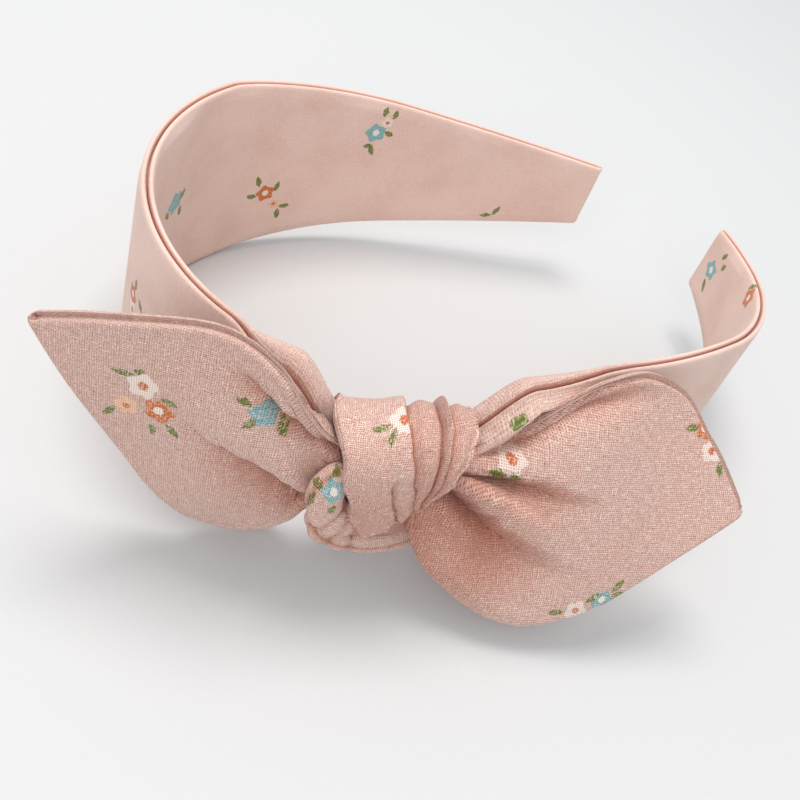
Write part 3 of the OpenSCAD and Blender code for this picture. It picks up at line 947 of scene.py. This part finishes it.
def make_wrap():
    """The tie's outer turn: a wide panel and a bundle of folds that run together at its lower tip."""
    edge = len(ROLL)
    beyond = len(TURNED_IN)
    right = edge + beyond
    share = np.concatenate([np.zeros(edge), np.linspace(0, 1, WRAP_COLUMNS), np.ones(right)])
    ring = np.concatenate([ROLL, np.zeros(WRAP_COLUMNS), ROLL[::-1], np.full(beyond, ROLL[0])])
    sign = np.concatenate([-np.ones(edge), np.zeros(WRAP_COLUMNS), np.ones(right)])
    start = np.concatenate([np.zeros(edge), np.linspace(0, 1, WRAP_ROWS) ** 1.15])[:, None]
    tuck = np.concatenate([ROLL, np.zeros(WRAP_ROWS)])
    row_share = share[None] * np.ones_like(start)
    angle = lerp(through(WRAP_TUCK, row_share), WRAP_END, start)
    world = knot_points(wrap_surface(angle, row_share))
    face = -normals_of(world)
    across = unit(np.gradient(world, axis=1))
    along = unit(np.gradient(world, axis=0))
    # Points on a rolled edge share one place, so they take their directions from the face beside it.
    for direction in (across, face):
        direction[:, :edge + 1] = direction[:, edge + 1:edge + 2]
        direction[:, -right - 1:] = direction[:, -right - 2:-right - 1]
    for direction in (along, face, across):
        direction[:edge + 1] = direction[edge + 1:edge + 2]
    # A roll moves the cloth out sideways by its sine, and in by its drop.
    inward = ROLL_RADIUS * (1 - np.cos(ring))[None] + ROLL_RADIUS * (1 - np.cos(tuck))[:, None]
    sideways = (sign * ROLL_RADIUS * (np.sin(ring) - 1.0) * (ring > 0))[None]
    endways = (ROLL_RADIUS * (1.0 - np.sin(tuck)) * (tuck > 0))[:, None, None]
    reach_in = rise(angle, 10, 25) * (1 - 0.65 * rise(angle, 130, 40))
    flat_part = np.zeros(len(share) - beyond)
    inward = inward + np.concatenate([flat_part, TURNED_IN])[None] * reach_in
    sideways = sideways - np.concatenate([flat_part, TURNED_UNDER])[None] * reach_in
    points = world - face * inward[..., None] + across * sideways[..., None] + along * endways
    # Cloth coordinates: up from the tuck beside the left edge, and across from the face's middle.
    guide = 30
    middle = edge + WRAP_COLUMNS // 2
    reach_along = reach_over(world[:, guide:guide + 1], 0)
    reach_across = reach_over(points, 1)
    from_middle = reach_across - reach_across[:, middle:middle + 1]
    fabric = np.stack([reach_along + 0 * from_middle, from_middle], -1)
    # Painted shade of the wrap's folds, and more of it along the rolled tuck at its lower edge.
    depth = wrap_folds_shade(angle, row_share)
    depth[:edge - 1] = np.maximum(depth[:edge - 1], 0.75)
    wrap = shell("knot_wrap_cloth", points, fabric, depth, WRAP_CLOTH,
                 cotton("wrap cotton", WRAP_MARKS, PINK, 1.25), flip=True)
    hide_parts("knot_wrap")
    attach(wrap, "crown")


# How many pinches follow each other along a tube, and between which shares of its length.
NO_PUCKERS = (0, 2, 2)
TUBE_ROWS = 60
TUBE_COLUMNS = 49


def along_tube(values, t):
    """Value at each share t of a tube's length, from values that are evenly spread along it."""
    return np.interp(t, np.linspace(0, 1, len(values)), values)


def pleated_tube(name, replaced, shape, marks):
    """Part of the tie that is drawn into a soft tube, with folds along it and pinches across it."""
    t = np.linspace(0, 1, TUBE_ROWS)
    middle = curve_through(shape["line"])(t)
    width = along_tube(shape["widths"], t)
    depth = along_tube(shape["depths"], t)
    ahead = unit(np.gradient(middle, axis=0))
    side = unit(np.cross(ahead, np.broadcast_to(np.array(shape["lift"], float), ahead.shape)))
    up = np.cross(side, ahead)
    turn = np.linspace(0, 2 * math.pi, TUBE_COLUMNS)
    twist = turn[None] * shape["folds"] / 2 + 1.1 * np.sin(2.6 * t + shape["folds"])[:, None]
    pinches, first, last = shape["puckers"]
    beat = math.pi * pinches * t ** 1.2
    pinch = 1 - np.abs(np.cos(beat[:, None] + 0.8 * np.sin(turn + 0.8)[None])) ** 0.6
    pinched = rise(t, first, 0.12) * fall(t, last, 0.12)
    swell = (1 - 0.30 * (1 - np.abs(np.sin(twist)) ** 0.7)) * (1 - 0.28 * pinch * pinched[:, None])
    closing = np.sqrt(np.maximum(1 - np.abs(2 * t - 1) ** 14, 0.02))[:, None]
    ring = (middle[:, None] + side[:, None] * (width[:, None] * closing * swell * np.cos(turn))[..., None]
            + up[:, None] * (depth[:, None] * closing * swell * np.sin(turn))[..., None])
    points = knot_points(ring)
    around = reach_over(points, 1)
    fabric = np.stack([reach_over(middle, 0)[:, None] + 0 * around, around], -1)
    # Painted shade in the creases between the folds, and at least the tube's own painted shade all over.
    crease_shade = clamp01((1 - swell) / 0.30) ** 2
    outwards = np.einsum("ijk,ijk->ij", normals_of(points), points - points.mean(axis=1, keepdims=True))
    piece = shell(name, points, fabric, np.maximum(0.9 * crease_shade, shape["shade"]), TUBE_CLOTH,
                  cotton(name + " cotton", marks), flip=float(np.median(outwards)) < 0)
    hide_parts(replaced)
    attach(piece, "crown")


# Tubes of cloth in the knot: the middle line in the knot frame, half widths and half depths spread evenly
# along it, folds round it, the direction its depth faces, its pinches, and the painted shade laid over all of
# it.
UNDER_LOOP = {
    "line": [(-17.2, 7.2, -2.0), (-16.9, 7.9, -6.4), (-12.0, 8.3, -10.5), (-4, 8.2, -11.9),
             (2.5, 7.2, -11.0), (7.5, 5.0, -8.6)],
    "widths": (2.6, 3.6, 3.2, 2.9, 2.8, 2.0), "depths": (2.0, 2.6, 2.5, 2.4, 2.1, 1.4),
    "folds": 4, "lift": (0, 1.0, 0.3), "puckers": (7, -0.2, 0.42), "shade": 0.0}
SIDE_FOLD = {
    "line": [(-17, 9.5, 13), (-19.2, 11, 7.8), (-18.6, 11.6, 3.4), (-15.0, 11.8, 0.0), (-10.0, 10.8, -1.6)],
    "widths": (2.0, 3.6, 4.3, 4.4, 3.2), "depths": (1.6, 2.4, 2.2, 1.9, 1.4),
    "folds": 2, "lift": (0, 1.0, 0.2), "puckers": (6, 0.5, 1.0), "shade": 0.0}
STRAND = {
    "line": [(-16.5, 7.0, -1), (-9, 7.0, -1.6), (0, 5.9, -2.2), (5, 5.4, -2)],
    "widths": (7, 10, 11, 9), "depths": (3.0, 3.6, 3.6, 3.0),
    "folds": 6, "lift": (0, 1.0, 0), "puckers": NO_PUCKERS, "shade": 0.65}
SIDE_MARKS = (
    ("blue white", 4.6, 4.2, 2.5, 0), ("leaf", 1.5, 4.4, 1.5, -136), ("leaf", 4.8, 7.6, 1.5, -100),
    ("leaf", 7.4, 8.0, 1.6, -150), ("leaf", 8.9, 3.6, 1.5, -172),
)


def make_knot_insides():
    pleated_tube("knot_loop_cloth", "knot_under_loop", UNDER_LOOP, ())
    pleated_tube("knot_side_cloth", "knot_side_fold", SIDE_FOLD, SIDE_MARKS)
    pleated_tube("knot_strand_cloth", "knot_inner_strand", STRAND, ())


# ---------------------------------------------------------------- the tails

# Rolled hem of one tail panel, given as the band's RIM is.
TAIL_RIM = ((0.10, 1.3), (0.12, 0.75), (0.24, 0.26), (0.48, 0.03), (0.74, 0.05), (0.94, 0.36), (1.02, 0.9),
            (1.04, 1.6))
# The same for the upper hem, where the back panel rolls over the front one: the seam shows in front.
FRONT_TOP_RIM = ((0.44, 2.3), (0.45, 1.75), (0.56, 1.34), (0.78, 1.14), (0.98, 1.2), (1.12, 1.5), (1.16, 2.0),
                 (1.16, 2.8))
BACK_TOP_RIM = ((-0.40, 2.2), (-0.42, 1.6), (-0.46, 0.95), (-0.30, 0.36), (0.06, 0.03), (0.5, 0.03),
                (0.9, 0.4), (1.06, 1.2))
TAIL_COLUMNS = 75
TAIL_ROWS = 96
# Radius of the upper corner at a tail's end.
UPPER_CORNER = 2.6
# Edges of the tails in the knot frame, from inside the knot to the end.
LEFT_UPPER = curve_through([
    (-15.5, 6.6, 12.5), (-19.4, 6, 16.3), (-25, 4, 22.9), (-29.6, 2.3, 29.4), (-36.5, -0.2, 33.2),
    (-44.2, -3, 33.1), (-59, -8.4, 28.5), (-70.2, -12.5, 23.3),
])
LEFT_LOWER = curve_through([
    (-16.5, 6.5, 1.5), (-20.4, 5.7, -3.3), (-22.9, 4.8, -8.9), (-28.2, 2.8, -14.4), (-36.4, -0.1, -16.1),
    (-44.8, -3.2, -14.6),
])
RIGHT_UPPER = curve_through([
    (3.5, 5.5, 8), (8.6, 3.6, 11.6), (15.4, 2.4, 15.4), (20.8, 1.2, 19.0), (26.3, -0.2, 23.4),
    (31.4, -0.6, 27.2), (39, -0.8, 29.2), (48.8, 0.2, 25.4), (55.4, 4.6, 19.0), (59.4, 7.8, 15),
    (65.7, 14.5, 7.1),
])
RIGHT_LOWER = curve_through([
    (-3.5, 6.5, 2.5), (-0.4, 7.6, 0.3), (1.6, 10.9, -3.8), (5.7, 14.7, -8.2), (12.3, 18.6, -12),
    (18.9, 21.7, -14.6), (25.4, 23.4, -15.4), (31.4, 23.7, -14.4), (38.8, 23.3, -12),
])
# On a tail, u runs from the knot to the tip and v from the lower edge to the upper one, both 0 to 1.
# Where each fold's lip runs, as (u, v), and the hollow under each tail's upper hem.
LEFT_LIP = ((0, 0.12), (0.15, 0.21), (0.29, 0.34), (0.38, 0.40), (0.48, 0.45), (0.57, 0.51), (0.68, 0.62))
LEFT_POCKET = ((0, 0.95), (0.1, 0.91), (0.2, 0.84), (0.32, 0.77), (0.38, 0.80), (0.45, 0.85))
RIGHT_LIP = ((0, 0.60), (0.18, 0.59), (0.26, 0.57), (0.39, 0.52), (0.52, 0.49), (0.62, 0.51))
RIGHT_LOW_LIP = ((0, 0.45), (0.17, 0.42), (0.24, 0.38), (0.33, 0.33), (0.43, 0.28), (0.52, 0.26),
                 (0.75, 0.24))
RIGHT_HOLLOW = ((0, 0.80), (0.3, 0.80), (0.41, 0.88), (0.6, 0.93))


def left_folds(u, v):
    """Height of the left tail's folds over its plain surface, and the painted shade on each place."""
    from_knot = smooth(u * 9)
    lip = through(LEFT_LIP, u)
    fade = from_knot * fall(u, 0.30, 0.45)
    main = valley(v, lip - 0.03, 0.30, 0.055) * fade * (1 + 0.4 * hump(u, 0.26, 0.14))
    crest = hump(v, lip + 0.11, 0.08) * fade
    pocket = valley(v, through(LEFT_POCKET, u) - 0.01, 0.14, 0.05) * smooth(u * 10) * fall(u, 0.32, 0.2)
    forward = hump(v, 0.97, 0.07) * rise(u, 0.02, 0.12) * fall(u, 0.24, 0.34)
    low = valley(v, 0.10, 0.08, 0.10) * smooth(u * 10) * fall(u, 0.08, 0.3)
    small = np.abs(np.sin(v * math.pi * 6)) * fall(u, 0, 0.16)
    body = 3.6 * np.sin(clamp01(v) * math.pi) * smooth(u * 3) * (1 - 0.6 * rise(u, 0.55, 0.4))
    sag = 0.5 * np.sin(v * 7 + u * 9) * rise(u, 0.35, 0.3)
    lift = body - 6.4 * main + 1.2 * crest - 4.4 * pocket + 2.4 * forward - 2.4 * low + 1.0 * small + sag
    # Painted shade, from 0 to 1: under the fold's lip, in the pocket and the low valley, and by the knot
    # between the small pleats there.
    shade_under_lip = valley(v, lip, 0.42, 0.02) ** 0.6 * from_knot * fall(u, 0.34, 0.42)
    by_knot = 0.30 * fall(u, 0.05, 0.3)
    between = 0.5 * (1 - small) * fall(u, 0, 0.1)
    return lift, clamp01(0.85 * shade_under_lip + 0.8 * low + 0.95 * pocket ** 0.6 + by_knot + between)


def right_folds(u, v):
    """The same for the right tail, which has two long folds."""
    from_knot = smooth(u * 9)
    lip_a = through(RIGHT_LIP, u)
    lip_b = through(RIGHT_LOW_LIP, u)
    fade_a = from_knot * fall(u, 0.28, 0.40)
    fade_b = from_knot * fall(u, 0.36, 0.44)
    deeper = 1 + 0.5 * hump(u, 0.25, 0.14)
    upper = valley(v, lip_a - 0.03, 0.10 + 0.10 * u, 0.05) * fade_a * deeper
    lower = valley(v, lip_b - 0.03, 0.20, 0.05) * fade_b * deeper
    ridge = hump(v, lerp(lip_a, lip_b, 0.72), 0.035) * fade_a
    soft = hump(v, 0.12, 0.05) * rise(u, 0.1, 0.15) * fall(u, 0.4, 0.25)
    curl = hump(v, 1.0, 0.07) * rise(u, 0.04, 0.15) * fall(u, 0.42, 0.2)
    hollow = hump(v, through(RIGHT_HOLLOW, u), 0.08) * rise(u, 0.10, 0.15) * fall(u, 0.40, 0.22)
    small = np.abs(np.sin(v * math.pi * 7)) * fall(u, 0, 0.12)
    body = 3.4 * np.sin(clamp01(v) * math.pi) * smooth(u * 3) * (1 - 0.5 * rise(u, 0.6, 0.4))
    sag = 0.5 * np.sin(v * 6 + u * 8) * rise(u, 0.4, 0.3)
    lift = (body - 5.0 * upper - 5.6 * lower + 1.2 * ridge - 1.2 * soft + 2.0 * curl - 2.8 * hollow
            + 0.8 * small + sag)
    # Painted shade, from 0 to 1: under both lips, in the hollow under the hem, over the low lobe, and by the
    # knot between the small pleats there.
    shade_under_lip_a = valley(v, lip_a, 0.14 + 0.20 * u, 0.02) ** 0.6 * from_knot * fall(u, 0.34, 0.34)
    shade_under_lip_b = valley(v, lip_b, 0.30, 0.02) ** 0.6 * from_knot * fall(u, 0.36, 0.42)
    by_knot = 0.25 * fall(u, 0.05, 0.4)
    low_lobe_shade = 0.45 * fall(v, -0.05, 0.4) * fall(u, 0.40, 0.3)
    between = 0.4 * (1 - small) * fall(u, 0, 0.1)
    return lift, clamp01(shade_under_lip_a + 0.9 * shade_under_lip_b + 0.6 * hollow + by_knot + low_lobe_shade + between)


def tail_surface(tail, u, v):
    """Points of a tail's middle surface in the knot frame. Below v = 0 the cloth curls back under."""
    low = tail["lower"](u)
    high = tail["upper"](u)
    plain = lerp(low, high, clamp01(v)[..., None])
    lift, crease_shade = tail["folds"](u, v)
    toward = unit(np.array(tail["facing"]))
    p = plain + toward * (lift * rise(v, -0.05, 0.12))[..., None]
    curl = tail["curl"]
    turn = clamp01(-v) * np.linalg.norm(high - low, axis=-1) / curl
    down = unit(low - high)
    under = down * (curl * np.sin(turn))[..., None] - toward * (curl * (1 - np.cos(turn)))[..., None]
    return p + np.where((v < 0)[..., None], under, 0), crease_shade


def round_corner(end_gap, edge_gap, radius):
    """Gaps from two edges that meet at a corner, with the corner rounded to that radius."""
    a = np.maximum(radius - end_gap, 0)
    b = np.maximum(radius - edge_gap, 0)
    share = np.maximum(a, b) / np.maximum(np.hypot(a, b), 1e-6)
    inside = (a > 0) & (b > 0)
    return np.where(inside, radius - a * share, end_gap), np.where(inside, radius - b * share, edge_gap)


def tail_grid(tail, top_rim):
    """u and v of a tail's grid, and how far out from its middle each place of a panel stands.

    The tail's roll is (u, spread, drop): where along it the upper seam rolls down over the front, and how
    far. Its corner is the radius of the lower corner."""
    low_rim = np.array(TAIL_RIM)
    flat_out, flat_in = low_rim[-1]
    high_rim = np.array(top_rim)[::-1]
    low_v = -0.10
    faces = np.linspace(0, 1, TAIL_COLUMNS)
    rows = np.linspace(0, 1, TAIL_ROWS)[:-1]
    low_columns = len(low_rim) - 1
    high_columns = len(high_rim) - 1
    u = np.concatenate([rows, np.ones(low_columns)])[:, None]
    end_in = np.concatenate([np.full(len(rows), flat_in), low_rim[-2::-1, 1]])[:, None]
    end_out = np.concatenate([np.full(len(rows), flat_out), low_rim[-2::-1, 0]])[:, None]
    share = np.concatenate([np.zeros(low_columns), faces, np.ones(high_columns)])
    low_in = np.concatenate([low_rim[:-1, 1], np.full(len(faces) + high_columns, flat_in)])
    high_in = np.concatenate([np.full(low_columns + len(faces), high_rim[0, 1]), high_rim[1:, 1]])
    edge_out = np.concatenate([low_rim[:-1, 0], np.full(len(faces), flat_out), high_rim[1:, 0]])
    span = np.linalg.norm(tail["upper"](u[:, 0]) - tail["lower"](u[:, 0]), axis=-1)[:, None]
    length = lerp(36.0, 66.0, share)[None]
    roll_u, roll_spread, roll_drop = tail["roll"]
    drop = roll_drop * hump(u, roll_u, roll_spread) / span
    # The back panel's hem rolls past the middle, to the front: only that part of it drops.
    rolls_over = np.min(edge_out) < 0
    rolled = (edge_out < 0) * 1.0 if rolls_over else np.ones(len(edge_out))
    low_edge = low_v + low_in[None] / span
    face_top = 1 - high_in[0] / span - (0 if rolls_over else drop)
    v = lerp(low_edge, face_top, share[None])
    rim_columns = np.arange(len(share)) >= len(share) - len(high_rim)
    v = np.where(rim_columns[None], 1 - high_in[None] / span - drop * rolled[None], v)
    end_gap, top_gap = round_corner((1 - u) * length + end_in, (1 - v) * span, UPPER_CORNER)
    end_gap, low_gap = round_corner(end_gap, (v - low_v) * span, tail["corner"])
    v = np.where(share[None] > 0.5, 1 - top_gap / span, low_v + low_gap / span)
    return 1 - end_gap / length, v, edge_out[None] * end_out / flat_out


def carry_on(fabric, points, count):
    """Runs the cloth coordinates of the last few columns on by their true lengths, round a rolled hem."""
    heading = unit(fabric[:, -1 - count] - fabric[:, -3 - count])
    steps = np.linalg.norm(np.diff(points[:, -1 - count:], axis=1), axis=-1)
    reach = np.cumsum(steps, axis=1)[..., None]
    fabric[:, -count:] = fabric[:, -1 - count][:, None] + heading[:, None] * reach
    return fabric


def hinge_ends(tail):
    """Where a tail's bend begins and ends, in metres in the row frame."""
    return [Vector(knot_points(np.array(spot, float))) * MM for spot in tail["hinge"]]


def tail_panel(name, tail, side, material, replaced):
    """One sewn panel of a tail: side is 1 for the front and -1 for the back."""
    top_rim = FRONT_TOP_RIM if side > 0 else BACK_TOP_RIM
    u, v, out = tail_grid(tail, top_rim)
    middle, crease_shade = tail_surface(tail, u, v)
    world = knot_points(middle)
    points = world + side * normals_of(world) * tail["turned"] * out[..., None]
    toward = unit(np.array(tail["facing"]))
    grain = unit(np.array([1.0, 0, 0]) - toward * toward[0])
    fabric = np.stack([middle @ grain, middle @ np.cross(grain, toward)], -1)
    fabric = carry_on(fabric, points, len(top_rim) - 1)
    ends = carry_on(np.swapaxes(fabric, 0, 1).copy(), np.swapaxes(points, 0, 1), len(TAIL_RIM) - 1)
    fabric = np.swapaxes(ends, 0, 1)
    # Painted shade along the seam groove: the last columns at the upper hem and the last rows at the end.
    groove = np.zeros_like(out)
    for step, shade in enumerate((0.75, 0.45, 0.15), 1):
        groove[:, -step] = shade
        groove[-step, :] = np.maximum(groove[-step, :], shade)
    # The back panel takes less of the painted shade of the folds.
    shown = 1.0 if side > 0 else 0.3
    piece = shell(name, points, fabric, np.maximum(shown * crease_shade, groove), CLOTH, material,
                  flip=tail["turned"] * side < 0)
    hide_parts(replaced)
    hinge_ends(tail)
    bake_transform(piece)


def tail_thread(name, tail, replaced):
    """Seam thread in the groove between a tail's panels: along its upper edge and down its end."""
    u = np.concatenate([np.linspace(0.12, 0.985, 90), np.full(60, 0.982)])
    v = np.concatenate([np.full(90, 0.974), np.linspace(0.95, 0.02, 60)])
    middle, _ = tail_surface(tail, u, v)
    piece = thread_piece(name, knot_points(middle), np.full(len(u), 0.1))
    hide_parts(replaced)
    hinge_ends(tail)
    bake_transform(piece)


# facing is the way a tail's front looks, curl the radius at its lower edge, and turned -1 where its grid
# runs the other way round. hinge holds where its bend begins and ends. All are in the knot frame.
LEFT_TAIL = {"upper": LEFT_UPPER, "lower": LEFT_LOWER, "folds": left_folds, "facing": (-0.25, 0.9, 0.25),
             "curl": 2.0, "turned": -1.0, "roll": (0.25, 0.15, 0.8), "corner": 12.0, "body": "left_tail",
             "hinge": ((-16, 6, 0), (-26, 6, 0)), "flat": (0.055, 0.075), "area": 0.0029}
RIGHT_TAIL = {"upper": RIGHT_UPPER, "lower": RIGHT_LOWER, "folds": right_folds, "facing": (0.0, 0.75, 0.6),
              "curl": 3.0, "turned": 1.0, "roll": (0.27, 0.16, 3.2), "corner": 6.0, "body": "right_tail",
              "hinge": ((3, 8, 0), (14, 8, 0)), "flat": (0.055, 0.085), "area": 0.0035}
LEFT_TAIL_MARKS = (
    ("leaf", -52.1, 19.5, 2.2, -6), ("leaf", -49.3, 20.3, 1.3, -21), ("white", -48.7, 17.5, 3.0, 10),
    ("peach", -51.4, 12.0, 2.3, 30), ("orange", -45.6, 12.8, 2.9, 0), ("leaf", -44.0, 15.4, 1.8, -14),
    ("leaf", -54.4, 9.6, 1.8, 52), ("leaf", -46.5, 8.0, 1.6, -87), ("leaf", -43.0, 8.9, 1.9, -45),
    ("blue", -28.4, 18.2, 2.6, 20), ("leaf", -31.8, 20.0, 1.8, -22), ("leaf", -25.3, 15.9, 2.0, -66),
    ("leaf", -30.4, 16.0, 1.6, 50),
)
RIGHT_TAIL_MARKS = (
    ("white", 15.5, 5.0, 2.7, 0), ("leaf", 13.0, 2.6, 1.8, 8), ("leaf", 16.6, 2.3, 1.6, -30),
    ("orange", 53.7, 12.7, 2.2, 0), ("leaf", 50.6, 12.9, 1.7, 1), ("white", 55.9, 8.6, 2.6, 20),
    ("leaf", 58.2, 4.9, 1.7, -80), ("leaf", 30.0, -25.4, 1.6, 9), ("white", 33.8, -24.8, 2.3, 0),
    ("blue white", 38.4, -22.2, 2.3, 0), ("leaf", 36.4, -22.0, 1.7, 47), ("leaf", 41.0, -19.2, 1.8, 56),
    ("leaf", 41.4, -21.2, 1.5, 27),
)


def make_tails():
    left_cotton = cotton("left tail cotton", LEFT_TAIL_MARKS, PINK, 1.1)
    right_cotton = cotton("right tail cotton", RIGHT_TAIL_MARKS, PINK, 1.2)
    plain = cotton("tail back cotton")
    tail_panel("left_tail_front_cloth", LEFT_TAIL, 1, left_cotton, "left_tail_front")
    tail_panel("left_tail_back_cloth", LEFT_TAIL, -1, plain, "left_tail_back")
    tail_thread("left_tail_thread", LEFT_TAIL, "left_tail_seam")
    tail_panel("right_tail_front_cloth", RIGHT_TAIL, 1, right_cotton, "right_tail_front")
    tail_panel("right_tail_back_cloth", RIGHT_TAIL, -1, plain, "right_tail_back")
    tail_thread("right_tail_thread", RIGHT_TAIL, "right_tail_seam")


# ---------------------------------------------------------------- what stays of the frame, and the stage


def dress_frame():
    """Gives the CAD pieces that stay shown their thread material."""
    for name in ("end_stitches_left", "end_stitches_right", "knot_tacking"):
        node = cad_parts[name]
        node.data.materials.clear()
        node.data.materials.append(THREAD)


def make_floor():
    half = 3000.0
    corners = np.array([(-half, -half, 0), (half, -half, 0), (half, half, 0), (-half, half, 0)])
    floor = link_mesh("floor", corners, [(0, 1, 2, 3)], floor_material())
    floor.location.z = -0.2 * MM


make_camera()
make_lights()
make_floor()
dress_frame()
make_band()
make_wrap()
make_knot_insides()
make_tails()
